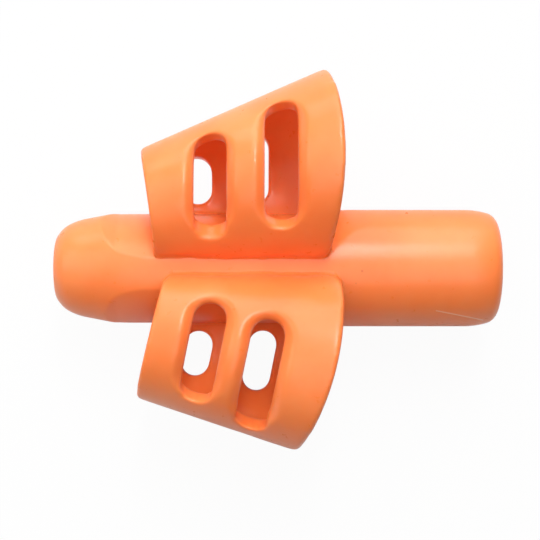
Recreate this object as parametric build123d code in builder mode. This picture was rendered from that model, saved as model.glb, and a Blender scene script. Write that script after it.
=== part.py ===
from build123d import *
import math
import os
from dataclasses import dataclass

# Two-finger pencil grip in soft silicone, in millimetres.
# The pencil runs along X through the barrel, with its tip towards -X. The index finger's
# sleeve stands on the +Y side and the thumb's on the -Y side, and +Z is the front of the
# grip. The origin is on the bore's axis, halfway along the barrel.

# Barrel
tube_length = 50.0
tube_radius = 6.65
bore_diameter = 6.2
nose_length = 8.5  # the nose tapers over this length
nose_shoulder_rounding = 3.2  # where the nose meets the barrel
nose_bevel_length = 1.9  # the nose's end draws in more steeply
nose_bevel_radius = 5.1
nose_bevel_rounding = 2.5
nose_end_radius = 3.8
nose_lip_bevel = 0.5
tail_rounding = 2.0

# Finger rests: shallow flats in the barrel under each sleeve, measured from the front
rest_radius = 10.5  # how flat they are across
rest_fade = 0.1  # how far past the barrel's surface each end of a rest climbs
rest_start = -22.4
rest_lead_in = 4.0
index_rest_angle = 60.0
index_rest_depth = 1.15
index_rest_end = 12.0
index_rest_run_out = 9.5
thumb_rest_angle = 68.0
thumb_rest_depth = 0.82
thumb_rest_end = 8.0
thumb_rest_run_out = 8.0

# Both sleeves: tapered arches with a circular bore, on roots beside the barrel's front line
narrow_station = -13.5
wide_station = 6.0
narrow_axis_drop = 3.15  # the finger hole's axis, behind the barrel's front line
wide_axis_drop = 2.35
sleeve_wall = 1.8
foot_overrun = 0.3
flex_clearance = 0.04  # running gap under the sleeves' roots
front_slot_width = 3.45
back_slot_width = 3.2
slot_bevel = 0.95  # around the mouths of the front slots

# Index sleeve: reach past the barrel's side, rims at the root and at the tip, and vent slots
index_root_angle = 6.2  # between the barrel's front line and the sleeve's outer wall
index_narrow_reach = 7.2
index_wide_reach = 15.6
index_narrow_rim_root = -13.4
index_narrow_rim_tip = -15.45
index_narrow_rim_bow = 0.4
index_wide_rim_root = 5.4
index_wide_rim_tip = 5.4
index_wide_rim_bow = 1.6
index_narrow_corner = 0.9
index_wide_corner = 2.2
index_slot_lean = 0.0
index_front_slots = [(-7.25, 2.0, 9.15), (0.35, 3.95, 11.85)]  # x, reach and length of each
index_back_slots = [(-9.1, 3.5, 5.2), (-2.5, 5.05, 7.8)]

# Thumb sleeve: the same, swept back more
thumb_root_angle = 8.0
thumb_narrow_reach = 8.6
thumb_wide_reach = 15.05
thumb_narrow_rim_root = -12.2
thumb_narrow_rim_tip = -15.8
thumb_narrow_rim_bow = 0.2
thumb_wide_rim_root = 7.0
thumb_wide_rim_tip = 1.45
thumb_wide_rim_bow = 1.7
thumb_narrow_corner = 2.6
thumb_wide_corner = 2.2
thumb_slot_lean = 11.5
thumb_front_slots = [(-7.85, 2.35, 9.7), (-1.8, 4.65, 10.8)]
thumb_back_slots = [(-9.2, 3.1, 5.2), (-1.95, 3.95, 7.0)]

bore_radius = bore_diameter / 2
nose_tip = -tube_length / 2
tail_end = tube_length / 2
narrow_axis_height = tube_radius - narrow_axis_drop
wide_axis_height = tube_radius - wide_axis_drop
past = 4.0  # how far cutting shapes run past what they cut

os.makedirs("parts", exist_ok=True)


with BuildPart() as pencil_tube:
    with BuildSketch(Plane.XZ) as half_section:
        with BuildLine():
            Polyline(
                (nose_tip, bore_radius),
                (nose_tip, nose_end_radius),
                (nose_tip + nose_bevel_length, nose_bevel_radius),
                (nose_tip + nose_length, tube_radius),
                (tail_end, tube_radius),
                (tail_end, bore_radius),
                close=True,
            )
        make_face()
        for corner, rounding in (
            ((nose_tip + nose_bevel_length, nose_bevel_radius), nose_bevel_rounding),
            ((nose_tip + nose_length, tube_radius), nose_shoulder_rounding),
            ((tail_end, tube_radius), tail_rounding),
        ):
            fillet(half_section.vertices().sort_by_distance(corner)[0], rounding)
        lip = half_section.vertices().sort_by_distance((nose_tip, nose_end_radius))[0]
        end_wall = nose_end_radius - bore_radius
        chamfer(lip, min(nose_lip_bevel, end_wall * 3 / 4))  # a thin end keeps some of its face
    revolve(axis=Axis.X)
    for angle, rest_depth, rest_end, run_out_length in (
        (index_rest_angle, index_rest_depth, index_rest_end, index_rest_run_out),
        (-thumb_rest_angle, thumb_rest_depth, thumb_rest_end, thumb_rest_run_out),
    ):
        faces_out = Vector(0, math.sin(math.radians(angle)), math.cos(math.radians(angle)))
        rest_axis = faces_out * (tube_radius - rest_depth - rest_radius)
        rest_plane = Plane(origin=rest_axis, x_dir=(1, 0, 0), z_dir=Vector(1, 0, 0).cross(faces_out))
        clear_of_tube = rest_radius + rest_depth + rest_fade
        with BuildSketch(rest_plane):
            with BuildLine():
                Polyline(
                    (rest_start, clear_of_tube),
                    (rest_start + rest_lead_in, rest_radius),
                    (rest_end - run_out_length, rest_radius),
                    (rest_end, clear_of_tube),
                    (rest_end, rest_radius + past),
                    (rest_start, rest_radius + past),
                    close=True,
                )
            make_face()
        revolve(axis=Axis(rest_axis, (1, 0, 0)), mode=Mode.SUBTRACT)
pencil_tube.part.label = "pencil_tube"
export_step(pencil_tube.part, "parts/pencil_tube.step")


@dataclass
class Sleeve:
    """One finger sleeve's sizes from the bore's axis; side is 1 for the index finger, -1 for the thumb."""

    side: int
    root_angle: float
    narrow_reach: float
    wide_reach: float
    narrow_rim: tuple
    wide_rim: tuple
    corners: tuple
    slot_lean: float
    front_slots: list
    back_slots: list


def root_line(sleeve):
    """Where the outer wall leaves the barrel: its distances beside and in front of the bore's axis."""
    angle = math.radians(sleeve.root_angle)
    return tube_radius * math.sin(angle), tube_radius * math.cos(angle)


def near_side(sleeve, reach, axis_height):
    """How close to the grip's middle plane a round wall through the root line comes."""
    root_y, root_z = root_line(sleeve)
    span = reach - root_y
    drop = root_z - axis_height
    return reach - span - drop**2 / span


def sleeve_taper(sleeve):
    """The sleeve's cone: the plane at its apex, facing along its axis, and its half angle."""
    length = wide_station - narrow_station
    narrow_low = near_side(sleeve, sleeve.narrow_reach, narrow_axis_height)
    wide_low = near_side(sleeve, sleeve.wide_reach, wide_axis_height)
    far_slope = (sleeve.wide_reach - sleeve.narrow_reach) / length
    near_slope = (wide_low - narrow_low) / length
    rise = (wide_axis_height - narrow_axis_height) / length
    behind = (sleeve.narrow_reach - narrow_low) / (far_slope - near_slope)
    heading = (math.atan(far_slope) + math.atan(near_slope)) / 2
    half_angle = (math.atan(far_slope) - math.atan(near_slope)) / 2
    apex = Vector(
        narrow_station - behind,
        sleeve.side * (sleeve.narrow_reach - far_slope * behind),
        narrow_axis_height - rise * behind,
    )
    axis = Vector(1, sleeve.side * math.tan(heading), rise)
    towards_barrel = Vector(0, -sleeve.side, 0)
    return Plane(origin=apex, x_dir=towards_barrel, z_dir=axis), half_angle


def plan_outline(sleeve):
    """The sleeve seen from the front: two bowed rims with rounded corners at the roots."""
    foot = sleeve.side * (root_line(sleeve)[0] - foot_overrun)
    narrow_root, narrow_tip, narrow_bow = sleeve.narrow_rim
    wide_root, wide_tip, wide_bow = sleeve.wide_rim
    narrow_top = sleeve.side * sleeve.narrow_reach
    wide_top = sleeve.side * sleeve.wide_reach
    with BuildSketch() as outline:
        with BuildLine():
            Line((narrow_root, foot), (wide_root, foot))
            narrow = SagittaArc((narrow_root, foot), (narrow_tip, narrow_top), -sleeve.side * narrow_bow)
            wide = SagittaArc((wide_root, foot), (wide_tip, wide_top), -sleeve.side * wide_bow)
            narrow_end = narrow @ 1 + narrow % 1 * past
            wide_end = wide @ 1 + wide % 1 * past
            Polyline(narrow @ 1, narrow_end, wide_end, wide @ 1)
        make_face()
        for end, corner in zip((0, -1), sleeve.corners):
            at_foot = outline.vertices().group_by(Axis.Y)[0 if sleeve.side > 0 else -1]
            fillet(at_foot.sort_by(Axis.X)[end], corner)
    return outline.sketch


def slot_sketch(sleeve, slots, width):
    """Round-ended slots, drawn on the level of the finger hole's axis."""
    level = (narrow_axis_height + wide_axis_height) / 2
    with BuildSketch(Plane.XY.offset(level)) as sketch:
        for x, reach, length in slots:
            with Locations((x, sleeve.side * (tube_radius + reach))):
                SlotOverall(length, width, rotation=90 - sleeve.slot_lean)
    return sketch.sketch


def outer_wall(body):
    """The sleeve's outside, which is the larger of its two cones."""
    return body.faces().filter_by(GeomType.CONE).sort_by(SortBy.AREA)[-1]


def finger_sleeve(sleeve):
    """One sleeve, cut clear of the barrel and to its plan, with bevelled front slots."""
    taper_plane, half_angle = sleeve_taper(sleeve)
    near = (min(sleeve.narrow_rim[:2]) - past - taper_plane.origin.X) / math.cos(half_angle)
    far = (max(sleeve.wide_rim[:2]) + sleeve.wide_reach - taper_plane.origin.X) / math.cos(half_angle)
    deep = 2 * sleeve.wide_reach
    with BuildPart() as body:
        for inset, mode in ((0, Mode.ADD), (sleeve_wall / math.cos(half_angle), Mode.SUBTRACT)):
            with Locations(taper_plane.offset(near)):
                Cone(
                    near * math.tan(half_angle) - inset,
                    far * math.tan(half_angle) - inset,
                    far - near,
                    align=(Align.CENTER, Align.CENTER, Align.MIN),
                    mode=mode,
                )
        with BuildSketch(Plane.YZ):
            Circle(tube_radius + flex_clearance)
        extrude(amount=tube_length, both=True, mode=Mode.SUBTRACT)
        extrude(plan_outline(sleeve), amount=deep, both=True, mode=Mode.INTERSECT)
        for slots, width, way in (
            (sleeve.front_slots, front_slot_width, 1),
            (sleeve.back_slots, back_slot_width, -1),
        ):
            extrude(slot_sketch(sleeve, slots, width), amount=way * deep, mode=Mode.SUBTRACT)
        front_mouths = [wire for wire in outer_wall(body).inner_wires() if wire.center().Z > 0]
        chamfer([edge for mouth in front_mouths for edge in mouth.edges()], slot_bevel)
    return body


index = Sleeve(
    side=1,
    root_angle=index_root_angle,
    narrow_reach=tube_radius + index_narrow_reach,
    wide_reach=tube_radius + index_wide_reach,
    narrow_rim=(index_narrow_rim_root, index_narrow_rim_tip, index_narrow_rim_bow),
    wide_rim=(index_wide_rim_root, index_wide_rim_tip, index_wide_rim_bow),
    corners=(index_narrow_corner, index_wide_corner),
    slot_lean=index_slot_lean,
    front_slots=index_front_slots,
    back_slots=index_back_slots,
)
thumb = Sleeve(
    side=-1,
    root_angle=thumb_root_angle,
    narrow_reach=tube_radius + thumb_narrow_reach,
    wide_reach=tube_radius + thumb_wide_reach,
    narrow_rim=(thumb_narrow_rim_root, thumb_narrow_rim_tip, thumb_narrow_rim_bow),
    wide_rim=(thumb_wide_rim_root, thumb_wide_rim_tip, thumb_wide_rim_bow),
    corners=(thumb_narrow_corner, thumb_wide_corner),
    slot_lean=thumb_slot_lean,
    front_slots=thumb_front_slots,
    back_slots=thumb_back_slots,
)

index_sleeve = finger_sleeve(index)
index_sleeve.part.label = "index_sleeve"
export_step(index_sleeve.part, "parts/index_sleeve.step")

thumb_sleeve = finger_sleeve(thumb)
thumb_sleeve.part.label = "thumb_sleeve"
export_step(thumb_sleeve.part, "parts/thumb_sleeve.step")
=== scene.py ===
# %% [markdown]
# # A two-finger pencil grip in orange silicone
# The real grip is one soft moulding: a barrel that is pushed over a pencil, and two flared
# sleeves, one for the index finger and one for the thumb, that grow out of the barrel's
# front. The CAD frame gives the sizes and the two places where the sleeves bend. This file
# gives each of the three its soft moulded skin, its silicone and the studio around it.

import math

import bmesh
import bpy
from mathutils import Matrix, Vector
from mathutils.bvhtree import BVHTree


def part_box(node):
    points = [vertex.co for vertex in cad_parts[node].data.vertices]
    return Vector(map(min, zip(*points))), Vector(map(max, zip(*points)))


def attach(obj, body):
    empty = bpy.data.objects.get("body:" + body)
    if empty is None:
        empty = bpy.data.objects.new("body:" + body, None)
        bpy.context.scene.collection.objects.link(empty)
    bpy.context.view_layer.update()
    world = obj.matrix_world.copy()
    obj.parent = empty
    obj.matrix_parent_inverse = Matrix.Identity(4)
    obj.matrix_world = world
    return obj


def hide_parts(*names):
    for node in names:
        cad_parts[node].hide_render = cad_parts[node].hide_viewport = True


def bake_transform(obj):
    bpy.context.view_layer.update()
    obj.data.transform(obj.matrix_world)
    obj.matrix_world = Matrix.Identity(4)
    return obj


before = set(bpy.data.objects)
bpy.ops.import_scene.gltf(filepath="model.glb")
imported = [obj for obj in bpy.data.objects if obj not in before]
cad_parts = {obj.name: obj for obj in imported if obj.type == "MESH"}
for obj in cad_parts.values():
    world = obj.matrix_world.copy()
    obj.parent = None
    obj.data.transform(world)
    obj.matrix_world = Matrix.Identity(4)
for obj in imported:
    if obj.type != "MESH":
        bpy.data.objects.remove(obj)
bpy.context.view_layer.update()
MM = 0.001
print("nodes:", sorted(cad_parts))

# %% [markdown]
# ## The camera
# The photograph looks straight down on the grip from about 150 mm above it, from a point a
# little below its middle. That is close for an object this size, so the wide rims of the
# sleeves, which stand nearer to the lens, look larger than the barrel. Only a lens of the same
# angle at the same distance gives the same spread, so both were fitted to the photo.

# %% Camera above the grip
camera_place = Vector((-2.235, -7.08, 150.7)) * MM
camera_target = Vector((-0.75, -0.228, 0.0)) * MM
photo_half_width = 270  # in the photo's pixels, as the focal length is
photo_focal_length = 1320

lens = bpy.data.cameras.new("photo_camera")
lens.sensor_fit = "HORIZONTAL"
lens.angle = 2 * math.atan(photo_half_width / photo_focal_length)
lens.clip_start = 0.01
camera = bpy.data.objects.new("photo_camera", lens)
camera.location = camera_place
back = (camera_place - camera_target).normalized()
right = Vector((0.0, 1.0, 0.0)).cross(back).normalized()
camera.rotation_euler = Matrix((right, back.cross(right), back)).transposed().to_euler()
bpy.context.scene.collection.objects.link(camera)
bpy.context.scene.camera = camera
print("camera at", [round(c / MM, 1) for c in camera_place], "mm")

# %% [markdown]
# ## Orange silicone: the pigment
# Silicone like this is coloured all through. It has no grain, but it is never one flat colour,
# because the pigment drifts a little as the rubber is mixed. A plain colour would look like
# plastic in a drawing, so a slow noise chooses between three oranges that lie close together.


# %% Pigment
def link(tree, source, socket, target, name):
    tree.links.new(source.outputs[socket], target.inputs[name])


def noise_node(tree, coordinates, scale, detail, roughness):
    node = tree.nodes.new("ShaderNodeTexNoise")
    node.inputs["Scale"].default_value = scale
    node.inputs["Detail"].default_value = detail
    node.inputs["Roughness"].default_value = roughness
    link(tree, coordinates, "Object", node, "Vector")
    return node


def ramp_node(tree, source, socket, stops):
    node = tree.nodes.new("ShaderNodeValToRGB")
    points = node.color_ramp.elements
    while len(points) < len(stops):
        points.new(0.5)
    for point, (position, colour) in zip(points, stops):
        point.position = position
        point.color = (*colour, 1.0)
    link(tree, source, socket, node, "Fac")
    return node


silicone_colour = (0.95, 0.225, 0.058)
silicone_deep = (0.93, 0.20, 0.047)
silicone_pale = (0.96, 0.255, 0.075)
pigment_stops = [(0.3, silicone_deep), (0.5, silicone_colour), (0.72, silicone_pale)]

silicone = bpy.data.materials.new("orange_silicone")
silicone.use_nodes = True
rubber = silicone.node_tree
shader = rubber.nodes["Principled BSDF"]
object_place = rubber.nodes.new("ShaderNodeTexCoord")
drift = noise_node(rubber, object_place, scale=110.0, detail=3.0, roughness=0.5)
tint = ramp_node(rubber, drift, "Fac", pigment_stops)
print("pigment:", len(pigment_stops), "oranges")

# %% [markdown]
# ## Scuffs and specks
# Handling leaves faint pale scuffs on the rubber, and dust leaves a few dark specks. Scuffs are
# the peaks of a noise, laid thinly over the pigment. For the specks a Voronoi texture puts one
# dot in each of its cells, and a ramp on the cell's random colour keeps only some of them.


# %% Scuffs and specks
def math_node(tree, operation, first, first_socket, second):
    node = tree.nodes.new("ShaderNodeMath")
    node.operation = operation
    tree.links.new(first.outputs[first_socket], node.inputs[0])
    if isinstance(second, float):
        node.inputs[1].default_value = second
    else:
        tree.links.new(second.outputs[0], node.inputs[1])
    return node


def tinted(tree, share, base, colour):
    node = tree.nodes.new("ShaderNodeMixRGB")
    node.inputs["Color2"].default_value = (*colour, 1.0)
    link(tree, share, "Value", node, "Fac")
    link(tree, base, "Color", node, "Color1")
    return node


def grey(level):
    return (level, level, level)


scuff_colour = (0.97, 0.31, 0.11)
scuff_strength = 0.15
speck_colour = (0.40, 0.07, 0.025)
speck_strength = 0.6
specks_per_metre = 230.0

rub = noise_node(rubber, object_place, scale=260.0, detail=3.0, roughness=0.5)
scuffs = ramp_node(rubber, rub, "Fac", [(0.55, grey(0.0)), (0.72, grey(1.0))])
scuff_share = math_node(rubber, "MULTIPLY", scuffs, "Color", scuff_strength)
scuffed = tinted(rubber, scuff_share, tint, scuff_colour)

speck_cells = rubber.nodes.new("ShaderNodeTexVoronoi")
speck_cells.inputs["Scale"].default_value = specks_per_metre
link(rubber, object_place, "Object", speck_cells, "Vector")
dots = ramp_node(rubber, speck_cells, "Distance", [(0.02, grey(1.0)), (0.04, grey(0.0))])
kept = ramp_node(rubber, speck_cells, "Color", [(0.56, grey(0.0)), (0.58, grey(1.0))])
specks = math_node(rubber, "MULTIPLY", dots, "Color", kept)
speck_share = math_node(rubber, "MULTIPLY", specks, "Value", speck_strength)
specked = tinted(rubber, speck_share, scuffed, speck_colour)
print("cells for specks:", round(1 / specks_per_metre / MM, 1), "mm across")

# %% [markdown]
# ## One scratch
# Near the tail the photo shows one thin pale scratch on the front of the barrel. It has no
# depth to speak of, so it is colour only. A mapping node turns the coordinates until x runs
# along the scratch, and plain comparisons then keep a short, narrow line.

# %% Scratch
scratch_start = Vector((17.6, -4.93, 0.0)) * MM
scratch_end = Vector((23.2, -5.98, 0.0)) * MM
scratch_width = 0.11 * MM
scratch_colour = (1.0, 0.55, 0.35)
scratch_strength = 0.7


def scratch_share(tree, place):
    """One on the scratch and nought beside it, on the front of the barrel only."""
    run = scratch_end - scratch_start
    turned = tree.nodes.new("ShaderNodeMapping")
    turned.vector_type = "TEXTURE"
    turned.inputs["Location"].default_value = (scratch_start + scratch_end) / 2
    turned.inputs["Rotation"].default_value = (0.0, 0.0, math.atan2(run.y, run.x))
    link(tree, place, "Object", turned, "Vector")
    axes = tree.nodes.new("ShaderNodeSeparateXYZ")
    link(tree, turned, "Vector", axes, "Vector")
    along = math_node(tree, "ABSOLUTE", axes, "X", 0.0)
    within = math_node(tree, "LESS_THAN", along, "Value", run.length / 2)
    aside = math_node(tree, "ABSOLUTE", axes, "Y", 0.0)
    thin = math_node(tree, "LESS_THAN", aside, "Value", scratch_width / 2)
    front = math_node(tree, "GREATER_THAN", axes, "Z", 0.0)
    line = math_node(tree, "MULTIPLY", within, "Value", thin)
    return math_node(tree, "MULTIPLY", line, "Value", front)


on_scratch = scratch_share(rubber, object_place)
scratch = math_node(rubber, "MULTIPLY", on_scratch, "Value", scratch_strength)
scratched = tinted(rubber, scratch, specked, scratch_colour)
link(rubber, scratched, "Color", shader, "Base Color")
print("scratch:", round((scratch_end - scratch_start).length / MM, 1), "mm long")

# %% [markdown]
# ## Gloss, grain and depth
# The mould leaves a very fine matt bloom, so the gloss is uneven and duller on the scuffs, and
# a weak bump gives the skin its grain. Light goes a short way into the rubber, which warms the
# shadows, and subsurface scattering does that. Colour, gloss and grain each have their own
# noise, because one noise for all of them would look printed on.

# %% Surface of the silicone
smoothest = 0.27
roughest = 0.33
scuff_dulling = 0.03
grain_strength = 0.05
grain_height = 0.06 * MM
scatter_depth = 1.6 * MM

bloom = noise_node(rubber, object_place, scale=900.0, detail=4.0, roughness=0.6)
matt = ramp_node(rubber, bloom, "Fac", [(0.3, grey(smoothest)), (0.7, grey(roughest))])
dulled = math_node(rubber, "MULTIPLY", scuffs, "Color", scuff_dulling)
gloss = math_node(rubber, "ADD", matt, "Color", dulled)
link(rubber, gloss, "Value", shader, "Roughness")

grain = noise_node(rubber, object_place, scale=5200.0, detail=3.0, roughness=0.6)
bump = rubber.nodes.new("ShaderNodeBump")
bump.inputs["Strength"].default_value = grain_strength
bump.inputs["Distance"].default_value = grain_height
link(rubber, grain, "Fac", bump, "Height")
link(rubber, bump, "Normal", shader, "Normal")

shader.inputs["IOR"].default_value = 1.42
shader.inputs["Subsurface Weight"].default_value = 0.2
shader.inputs["Subsurface Radius"].default_value = (1.0, 0.35, 0.12)
shader.inputs["Subsurface Scale"].default_value = scatter_depth
print("material:", silicone.name, len(rubber.nodes), "nodes")

# %% [markdown]
# ## The barrel
# The barrel is a turned shape: a tapered nose with a soft lip, a straight run and a tail that
# draws in before its rounded end. A lathe makes it from half of its section, so the section's
# few corners are drawn and each is rounded by a bevel of its own size. The bore is part of the
# same wire, so the wall is closed.

# %% Half section of the barrel
tube_radius = 6.65
bore_radius = 3.1
nose_tip = -25.0
tail_end = 25.0
section_corners = [
    # x, radius and rounding of each corner, in mm
    (nose_tip, bore_radius, 0.1),
    (nose_tip, 3.5, 0.28),
    (nose_tip + 0.8, 4.62, 0.7),
    (nose_tip + 2.4, 5.42, 0.8),
    (nose_tip + 5.5, 6.03, 1.4),
    (nose_tip + 8.8, tube_radius, 1.8),
    (tail_end - 2.4, tube_radius, 1.1),
    (tail_end, 6.0, 1.05),
    (tail_end, bore_radius, 0.3),
]
corner_segments = 7
ring_spacing = 0.3 * MM


def rounded_section():
    section = bmesh.new()
    corners = [section.verts.new((x * MM, 0.0, r * MM)) for x, r, _ in section_corners]
    for first, second in zip(corners, corners[1:] + corners[:1]):
        section.edges.new((first, second))
    for corner, (_, _, rounding) in zip(corners, section_corners):
        bmesh.ops.bevel(
            section,
            geom=[corner],
            offset=rounding * MM,
            offset_type="ABSOLUTE",
            affect="VERTICES",
            segments=corner_segments,
            profile=0.5,
            material=-1,
        )
    for edge in list(section.edges):
        cuts = int(edge.calc_length() / ring_spacing)
        if cuts:
            bmesh.ops.subdivide_edges(section, edges=[edge], cuts=cuts)
    return section


barrel = rounded_section()
print("barrel section:", len(barrel.verts), "points")

# %% [markdown]
# ## Turning the barrel
# The spin operator is Blender's lathe: it turns the wire about the pencil's axis in small steps
# and joins the last ring to the first. A screw modifier would do the same, but the finger rests
# are pressed into the points next, so the points are made at once.

# %% Spin the section
lathe_steps = 240
bmesh.ops.spin(
    barrel,
    geom=barrel.verts[:] + barrel.edges[:],
    cent=(0, 0, 0),
    axis=(1, 0, 0),
    angle=math.tau,
    steps=lathe_steps,
    use_merge=True,
)
bmesh.ops.remove_doubles(barrel, verts=barrel.verts, dist=1e-7)
bmesh.ops.recalc_face_normals(barrel, faces=barrel.faces)
print("barrel:", len(barrel.verts), "points,", len(barrel.faces), "faces")

# %% [markdown]
# ## Finger rests
# Under each sleeve the barrel is pressed flat where the fingertip lies, and the flat runs out
# softly along the barrel. Each rest is a flatter round, with its own axis behind the barrel's,
# so a point that stands outside that round is drawn back onto it. A hard cut would leave an
# edge that soft silicone doesn't have, so the two rounds are blended over a short width.

# %% Press the rests into the barrel
rest_radius = 10.5
rest_fade = 0.1
rest_start = -23.4
rest_lead_in = 5.5
rest_ease = 2.5
finger_rests = [
    # angle from the front in degrees, depth, end and run-out in mm
    (57.5, 1.05, 14.0, 9.0),
    (-67.0, 0.78, 8.0, 8.0),
]
rest_softness = 0.06
bore_margin = 0.6


def soft_minimum(a, b, width):
    share = max(width - abs(a - b), 0.0) / width
    return min(a, b) - share * share * width / 4


def rest_arm(place, rest):
    """From a rest's axis to a point, and how long that arm may be, in mm."""
    angle, depth, end, run_out = rest
    turn = math.radians(angle)
    facing = Vector((0.0, math.sin(turn), math.cos(turn)))
    axis = facing * (tube_radius - depth - rest_radius)
    arm = Vector((0.0, place.y / MM, place.z / MM)) - axis
    before = (rest_start + rest_lead_in - place.x / MM) / rest_lead_in
    after = min(max((place.x / MM - end + run_out) / run_out, 0.0), 1.0)
    after = 1.0 - (1.0 - after) ** rest_ease
    limit = rest_radius + (depth + rest_fade) * max(before, after, 0.0)
    return arm, limit


skin_start = (bore_radius + bore_margin) * MM
outside = [v for v in barrel.verts if math.hypot(v.co.y, v.co.z) > skin_start]
for rest in finger_rests:
    for v in outside:
        arm, limit = rest_arm(v.co, rest)
        shorter = soft_minimum(arm.length, limit, rest_softness)
        v.co += arm.normalized() * (shorter - arm.length) * MM
print("finger rests:", len(finger_rests), "pressed into", len(outside), "points")

# %% [markdown]
# ## The barrel as a piece
# The finished points become a mesh object with smooth shading and the silicone. It takes the
# place of the CAD barrel and moves with the body that the pencil goes through.

# %% Barrel skin
barrel_mesh = bpy.data.meshes.new("pencil_barrel")
barrel.to_mesh(barrel_mesh)
barrel.free()
barrel_mesh.shade_smooth()
barrel_skin = bpy.data.objects.new("pencil_barrel", barrel_mesh)
bpy.context.scene.collection.objects.link(barrel_skin)
barrel_mesh.materials.append(silicone)
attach(barrel_skin, "barrel")
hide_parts("pencil_tube")
print("barrel skin:", len(barrel_mesh.polygons), "faces")

# %% [markdown]
# ## Finger sleeves
# Each sleeve is a tapered arch with two long slots in front and two shorter ones behind. The
# CAD node has every wall and slot at its size, but with the crisp edges of a cut solid, while
# the moulding's edges are as soft as its rubber. So a copy of the node is softened in steps.
# First its feet are sunk into the barrel, where the moulding is joined.

# %% Copy of a sleeve with its feet sunk
foot_radius = 6.70 * MM
sunk_radius = 5.0 * MM


def sunk_copy(node):
    copy = bmesh.new()
    copy.from_mesh(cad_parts[node].data)
    bmesh.ops.remove_doubles(copy, verts=copy.verts, dist=1e-6)
    feet = [v for v in copy.verts if math.hypot(v.co.y, v.co.z) < foot_radius]
    for v in feet:
        shrink = sunk_radius / math.hypot(v.co.y, v.co.z)
        v.co.y *= shrink
        v.co.z *= shrink
    print(node, "copy:", len(copy.verts), "points,", len(feet), "of them on the feet")
    return copy


print("feet sunk by", round((tube_radius * MM - sunk_radius) / MM, 2), "mm")

# %% [markdown]
# ## The front slots
# The next steps work on the ends of the front slots, so they need to know where these are. The
# places come from the photo. How far down the wall goes just past an end depends on the taper
# of the sleeve, so a ray from the front measures that instead of a second set of numbers.

# %% Ends of the front slots
slot_width = 3.45
# x, y and length, the slopes of the lower and upper end, and the lower end's lean
index_slots = [(-7.25, 8.65, 9.15, 34.0, 18.0, 1.1), (0.35, 10.6, 11.85, 24.0, 18.0, 0.65)]
thumb_slots = [(-7.85, -9.0, 9.7, 22.0, 0.0, 0.3), (-1.83, -11.45, 11.1, 22.0, 0.0, 0.2)]
index_slot_turn = 0.0
thumb_slot_turn = 11.5
deepest_scoop = 2.4
beside_end = 0.5
above_all = 30.0
below_skin = 0.05


def slot_run(slot_turn):
    """The way along a front slot, from its lower to its upper end."""
    turn = math.radians(slot_turn)
    return Vector((math.sin(turn), math.cos(turn), 0.0))


def slot_ends(slots, slot_turn):
    """Each sloped end's centre, the way out of the slot there, its slope and its lean."""
    up = slot_run(slot_turn)
    ends = []
    for x, y, length, lower_slope, upper_slope, inward in slots:
        reach = (length - slot_width) / 2
        ends.append((Vector((x, y, 0.0)) - up * reach, -up, lower_slope, inward))
        ends.append((Vector((x, y, 0.0)) + up * reach, up, upper_slope, 0.0))
    return [end for end in ends if end[2]]


def end_wall(tree, end, way):
    """The front and the finger hole's side of the wall just past a slot's end."""
    look = Vector((0.0, 0.0, -1.0))
    beside = (end + way * (slot_width / 2 + beside_end)) * MM
    beside.z = above_all * MM
    outer = tree.ray_cast(beside, look)[0]
    inner = tree.ray_cast(outer + look * below_skin * MM, look)[0]
    inner.z = max(inner.z, outer.z - deepest_scoop * MM)
    return outer, inner


sloped = slot_ends(index_slots, index_slot_turn) + slot_ends(thumb_slots, thumb_slot_turn)
print("front slots:", len(index_slots + thumb_slots), "with", len(sloped), "sloped ends")

# %% [markdown]
# ## Scooped slot ends
# The front slots aren't cut straight through: their ends slope, so that the pins of the mould
# draw out, and these slopes catch the light. A round bar set at that slope takes the same scoop
# out of the wall. It turns about the point where the slot meets the finger hole.

# %% Bars that cut the scoops
bar_sides = 64
bar_length = 8
bar_lift = 3.5


def scoop_bars(tree, slots, slot_turn):
    bars = bmesh.new()
    for end, way, slope, _ in slot_ends(slots, slot_turn):
        _, inner = end_wall(tree, end, way)
        straight = Vector((0.0, 0.0, 1.0))
        axis = (way * math.tan(math.radians(slope)) + straight).normalized()
        pivot = Vector((end.x * MM, end.y * MM, inner.z))
        turn = straight.rotation_difference(axis).to_matrix().to_4x4()
        bmesh.ops.create_cone(
            bars,
            cap_ends=True,
            segments=bar_sides,
            radius1=slot_width / 2 * MM,
            radius2=slot_width / 2 * MM,
            depth=bar_length * MM,
            matrix=Matrix.Translation(pivot + axis * bar_lift * MM) @ turn,
        )
    return bars


print("scoops:", len(sloped), "bars,", slot_width, "mm thick")

# %% [markdown]
# ## Leaning slot ends
# Behind the scoop the lower ends also lean into their slots, so that the finger hole's side of
# each end shows as a bright ledge. A second cut can't add material, so the points of the end
# wall are moved: none at the front, by the whole lean at the finger hole, and fading around it.

# %% Lean of the lower ends
lean_zone = 2.2
lean_fade = 1.5


def lean_ends(soft, tree, slots, slot_turn):
    for end, way, _, inward in slot_ends(slots, slot_turn):
        if not inward:
            continue
        outer, inner = end_wall(tree, end, way)
        for v in soft.verts:
            off = Vector((v.co.x / MM - end.x, v.co.y / MM - end.y, 0.0))
            along = off.dot(way)
            across = (off - way * along).length
            past = math.hypot(max(along, 0.0), across) - slot_width / 2
            depth = (outer.z - v.co.z) / (outer.z - inner.z)
            near = min(1.0 - past / lean_zone, 1.0 + along / lean_zone, 1.0)
            level = min(depth, 1.0 - (depth - 1.0) / lean_fade)
            if near > 0.0 and level > 0.0:
                v.co -= way * inward * level * near * near * (3 - 2 * near) * MM


print("leans:", [lean for _, _, _, lean in sloped if lean], "mm")

# %% [markdown]
# ## Even faces
# The CAD copy has long thin faces, which can't be smoothed. A remesh modifier with small voxels
# gives it even ones, and the scoops are cut just before it. Both are modifiers, so they are
# evaluated once and the result is kept as the piece's mesh.

# %% Cut and remesh
voxel = 0.166 * MM


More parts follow.
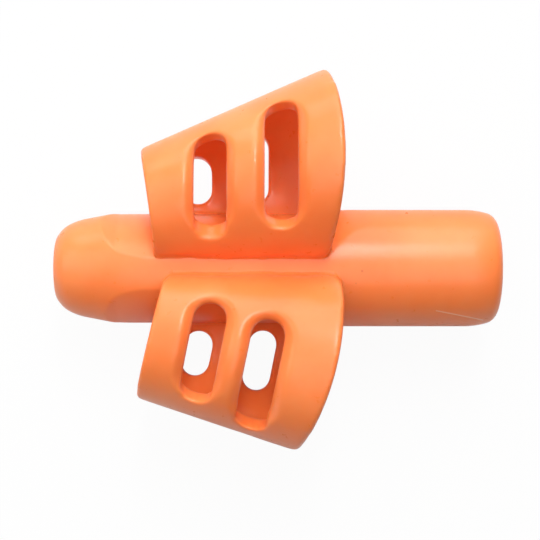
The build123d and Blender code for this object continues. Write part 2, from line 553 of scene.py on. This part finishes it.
def as_object(name, source):
    mesh = bpy.data.meshes.new(name)
    source.to_mesh(mesh)
    source.free()
    piece = bpy.data.objects.new(name, mesh)
    bpy.context.scene.collection.objects.link(piece)
    return piece


def remeshed(piece, bars):
    cut = piece.modifiers.new("scoops", "BOOLEAN")
    cut.operation = "DIFFERENCE"
    cut.object = bars
    cut.solver = "EXACT"
    remesh = piece.modifiers.new("even_faces", "REMESH")
    remesh.mode = "VOXEL"
    remesh.voxel_size = voxel
    remesh.adaptivity = 0.0
    graph = bpy.context.evaluated_depsgraph_get()
    even = bpy.data.meshes.new_from_object(piece.evaluated_get(graph))
    piece.modifiers.clear()
    sharp = piece.data
    piece.data = even
    even.name = piece.name
    bpy.data.meshes.remove(sharp)
    bar_mesh = bars.data
    bpy.data.objects.remove(bars)
    bpy.data.meshes.remove(bar_mesh)


print("faces of", round(voxel / MM, 3), "mm")

# %% [markdown]
# ## Soft rims
# A mould rounds every edge, and some more than others: the slots' mouths, the lip of the wide
# rim and the two tips are the softest. Smoothing the even faces rounds all edges at once, and
# a few more passes on the points near those places round them further. A bevel would need each
# edge picked by hand, and it folds where slots and rims come close.

# %% Smoothing, and where it is stronger
mouth_zone = 1.9
mouth_level = 2.8
lip_zone = 1.5
# root and tip of the wide rim, and how far it bows out between them
index_lip = [(5.4, 0.7), (5.4, 22.25), 1.6]
thumb_lip = [(7.0, -0.9), (1.45, -21.7), 1.7]


def smooth(soft, points, passes):
    for _ in range(passes):
        bmesh.ops.smooth_vert(
            soft, verts=points, factor=0.5, use_axis_x=True, use_axis_y=True, use_axis_z=True
        )


def near_mouths(soft, slots, slot_turn):
    """Points of the front wall close to a slot, seen from the front."""
    run = slot_run(slot_turn)
    found = []
    for v in soft.verts:
        if v.co.z < mouth_level * MM:
            continue
        for x, y, length, *_ in slots:
            reach = (length - slot_width) / 2
            off = Vector((v.co.x / MM - x, v.co.y / MM - y, 0.0))
            along = min(max(off.dot(run), -reach), reach)
            if (off - run * along).length < slot_width / 2 + mouth_zone:
                found.append(v)
                break
    return found


def near_lip(soft, lip):
    """Points close to the wide rim, which is a bowed line from its root to its tip."""
    (root_x, root_y), (tip_x, tip_y), bow = lip
    found = []
    for v in soft.verts:
        share = (v.co.y / MM - root_y) / (tip_y - root_y)
        rim = root_x + (tip_x - root_x) * share + 4 * bow * share * (1 - share)
        if v.co.x / MM > rim - lip_zone:
            found.append(v)
    return found


def near_tip(soft, way, zone):
    """Points close to the corner of a rim that stands furthest out that way."""
    tip = max(
        (v.co for v in soft.verts),
        key=lambda place: place.x * way[0] + place.y * way[1],
    )
    return [v for v in soft.verts if math.hypot(v.co.x - tip.x, v.co.y - tip.y) < zone * MM]


print("softer within", mouth_zone, "mm of a slot and", lip_zone, "mm of a lip")

# %% [markdown]
# ## The roots
# Where a sleeve leaves the barrel the moulding has a small hollow fillet. The sunk wall only
# crosses the barrel, so the points near the crossing are spread outwards along the barrel's
# surface, by the amount that a round fillet of that size has at their height. Spreading is
# enough here: the two skins then meet almost in line, and no seam shows.

# %% Spread the feet into fillets
index_fillet = 0.25
thumb_fillet = 0.35


def barrel_height(place):
    """How far a point stands off the barrel with its rests, in mm."""
    heights = [math.hypot(place.y, place.z) / MM - tube_radius]
    for rest in finger_rests:
        arm, limit = rest_arm(place, rest)
        heights.append(arm.length - limit)
    return max(heights)


def spread_feet(soft, fillet):
    soft.normal_update()
    moves = []
    for v in soft.verts:
        height = barrel_height(v.co)
        if height < fillet:
            outwards = Vector((0.0, v.co.y, v.co.z)).normalized()
            along = v.normal - outwards * v.normal.dot(outwards)
            level = min(max(fillet - height, 0.0), fillet)
            spread = fillet - math.sqrt(max(fillet * fillet - level * level, 0.0))
            moves.append((v, along * spread * MM))
    for v, move in moves:
        v.co += move
    return len(moves)


print("fillets of", index_fillet, "and", thumb_fillet, "mm")

# %% [markdown]
# ## Both sleeves
# All steps now run on both sleeves. On the real grip the rubber bends at the roots.

# %% Sleeve skins
rim_passes = 9
mouth_passes = 12
lip_passes = 22
last_passes = 2
wide_tip = (40, 2.6)  # passes, and how far from the tip in mm
narrow_tip = (14, 1.2)


def sleeve_skin(name, node, slots, slot_turn, lip, fillet):
    copy = sunk_copy(node)
    wall = BVHTree.FromBMesh(copy)
    bars = as_object(name + "_bars", scoop_bars(wall, slots, slot_turn))
    piece = as_object(name, copy)
    remeshed(piece, bars)
    soft = bmesh.new()
    soft.from_mesh(piece.data)
    lean_ends(soft, wall, slots, slot_turn)
    smooth(soft, soft.verts, rim_passes)
    smooth(soft, near_mouths(soft, slots, slot_turn), mouth_passes)
    smooth(soft, near_lip(soft, lip), lip_passes)
    side = math.copysign(1.0, lip[1][1])
    tip_ways = ((wide_tip, (0.5, side)), (narrow_tip, (-1.0, 0.4 * side)))
    for (passes, zone), way in tip_ways:
        smooth(soft, near_tip(soft, way, zone), passes)
    moved = spread_feet(soft, fillet)
    smooth(soft, soft.verts, last_passes)
    soft.to_mesh(piece.data)
    soft.free()
    piece.data.shade_smooth()
    piece.data.materials.clear()
    piece.data.materials.append(silicone)
    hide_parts(node)
    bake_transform(piece)
    print(name, len(piece.data.polygons), "faces,", moved, "points in the fillets")


sleeve_skin(
    "index_finger_sleeve",
    "index_sleeve",
    index_slots,
    index_slot_turn,
    index_lip,
    index_fillet,
)
sleeve_skin(
    "thumb_sleeve_skin",
    "thumb_sleeve",
    thumb_slots,
    thumb_slot_turn,
    thumb_lip,
    thumb_fillet,
)

# %% [markdown]
# ## The floor
# The grip lies above a white sweep, which leaves room below the barrel for the sleeves when they
# bend outwards. White paper under these lamps would render grey, and more light would bleach
# the grip, so the paper glows for the camera alone. Gloss sees a little of that white, and the
# rest of the paper stays plain, so it keeps a faint shadow.

# %% White floor
room_to_bend = 2.9 * MM
floor_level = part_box("pencil_tube")[0].z - room_to_bend
floor_reach = 0.6
camera_white = 0.95
gloss_white = 0.12

sheet = bmesh.new()
bmesh.ops.create_grid(sheet, x_segments=2, y_segments=2, size=floor_reach)
bmesh.ops.translate(sheet, verts=sheet.verts, vec=(0, 0, floor_level))
floor_mesh = bpy.data.meshes.new("white_floor")
sheet.to_mesh(floor_mesh)
sheet.free()
floor = bpy.data.objects.new("white_floor", floor_mesh)
bpy.context.scene.collection.objects.link(floor)


def white_share(tree):
    """How much of plain white a ray sees."""
    path = tree.nodes.new("ShaderNodeLightPath")
    camera_or_glass = tree.nodes.new("ShaderNodeMath")
    camera_or_glass.operation = "MAXIMUM"
    link(tree, path, "Is Camera Ray", camera_or_glass, 0)
    link(tree, path, "Is Transmission Ray", camera_or_glass, 1)
    share = math_node(tree, "MULTIPLY", camera_or_glass, "Value", camera_white)
    seen = tree.nodes.new("ShaderNodeMath")
    seen.operation = "MULTIPLY_ADD"
    seen.inputs[1].default_value = gloss_white
    link(tree, path, "Is Glossy Ray", seen, 0)
    link(tree, share, "Value", seen, 2)
    return seen


def white_material():
    material = bpy.data.materials.new("white_paper")
    material.use_nodes = True
    tree = material.node_tree
    output = tree.nodes["Material Output"]
    paper = tree.nodes["Principled BSDF"]
    paper.inputs["Base Color"].default_value = (*grey(0.7), 1.0)
    paper.inputs["Roughness"].default_value = 0.9
    paper.inputs["Specular IOR Level"].default_value = 0.1
    glow = tree.nodes.new("ShaderNodeEmission")
    glow.inputs["Strength"].default_value = 1.0
    mix = tree.nodes.new("ShaderNodeMixShader")
    link(tree, white_share(tree), "Value", mix, "Fac")
    tree.links.new(paper.outputs["BSDF"], mix.inputs[1])
    tree.links.new(glow.outputs["Emission"], mix.inputs[2])
    link(tree, mix, "Shader", output, "Surface")
    return material


floor_mesh.materials.append(white_material())
print("floor at", round(floor_level / MM, 2), "mm")

# %% [markdown]
# ## The lamps
# The photo's light is soft and comes mostly from above the top of the picture. A narrow lamp
# there gives the barrel its short bright streak, and a broad one around it keeps the shadows
# soft. A low lamp behind brightens the upper edges, one from the left reaches the nose, and
# weak ones from above and from the near side fill the slots.

# %% Lamps
lamp_target = Vector((0, 0, 0))


def area_light(name, place, width, height, watts):
    lamp = bpy.data.lights.new(name, "AREA")
    lamp.shape = "RECTANGLE"
    lamp.size = width
    lamp.size_y = height
    lamp.energy = watts
    item = bpy.data.objects.new(name, lamp)
    item.location = place
    item.rotation_euler = (lamp_target - Vector(place)).to_track_quat("-Z", "Y").to_euler()
    bpy.context.scene.collection.objects.link(item)
    return lamp


studio_lamps = [
    area_light("key_light", (0.02, 0.205, 0.34), width=0.045, height=0.17, watts=0.65),
    area_light("broad_light", (0.0, 0.30, 0.27), width=0.36, height=0.26, watts=0.85),
    area_light("top_light", (0.0, 0.06, 0.42), width=0.40, height=0.25, watts=0.5),
    area_light("back_light", (-0.05, 0.45, 0.13), width=0.60, height=0.16, watts=1.0),
    area_light("side_light", (-0.32, 0.10, 0.26), width=0.30, height=0.30, watts=0.55),
    area_light("fill_light", (0.0, -0.14, 0.40), width=0.40, height=0.20, watts=0.45),
]
total_watts = sum(lamp.energy for lamp in studio_lamps)
print(len(studio_lamps), "lamps with", round(total_watts, 2), "watts in all")

# %% [markdown]
# ## The air around
# Beyond the floor's edge the camera sees the world, so the world shows the same white to it.
# To all other rays it is nearly dark, because a bright world would light the grip from every
# side and flatten it. The Standard view keeps each colour about as it is written.

# %% World and view
air_glow = 0.02
world = bpy.data.worlds.new("studio_air")
world.use_nodes = True
sky = world.node_tree
air = sky.nodes["Background"]
air.inputs["Color"].default_value = (1.0, 1.0, 1.0, 1.0)
air_level = math_node(sky, "MAXIMUM", white_share(sky), "Value", air_glow)
link(sky, air_level, "Value", air, "Strength")
bpy.context.scene.world = world
bpy.context.scene.view_settings.view_transform = "Standard"
print("view:", bpy.context.scene.view_settings.view_transform)
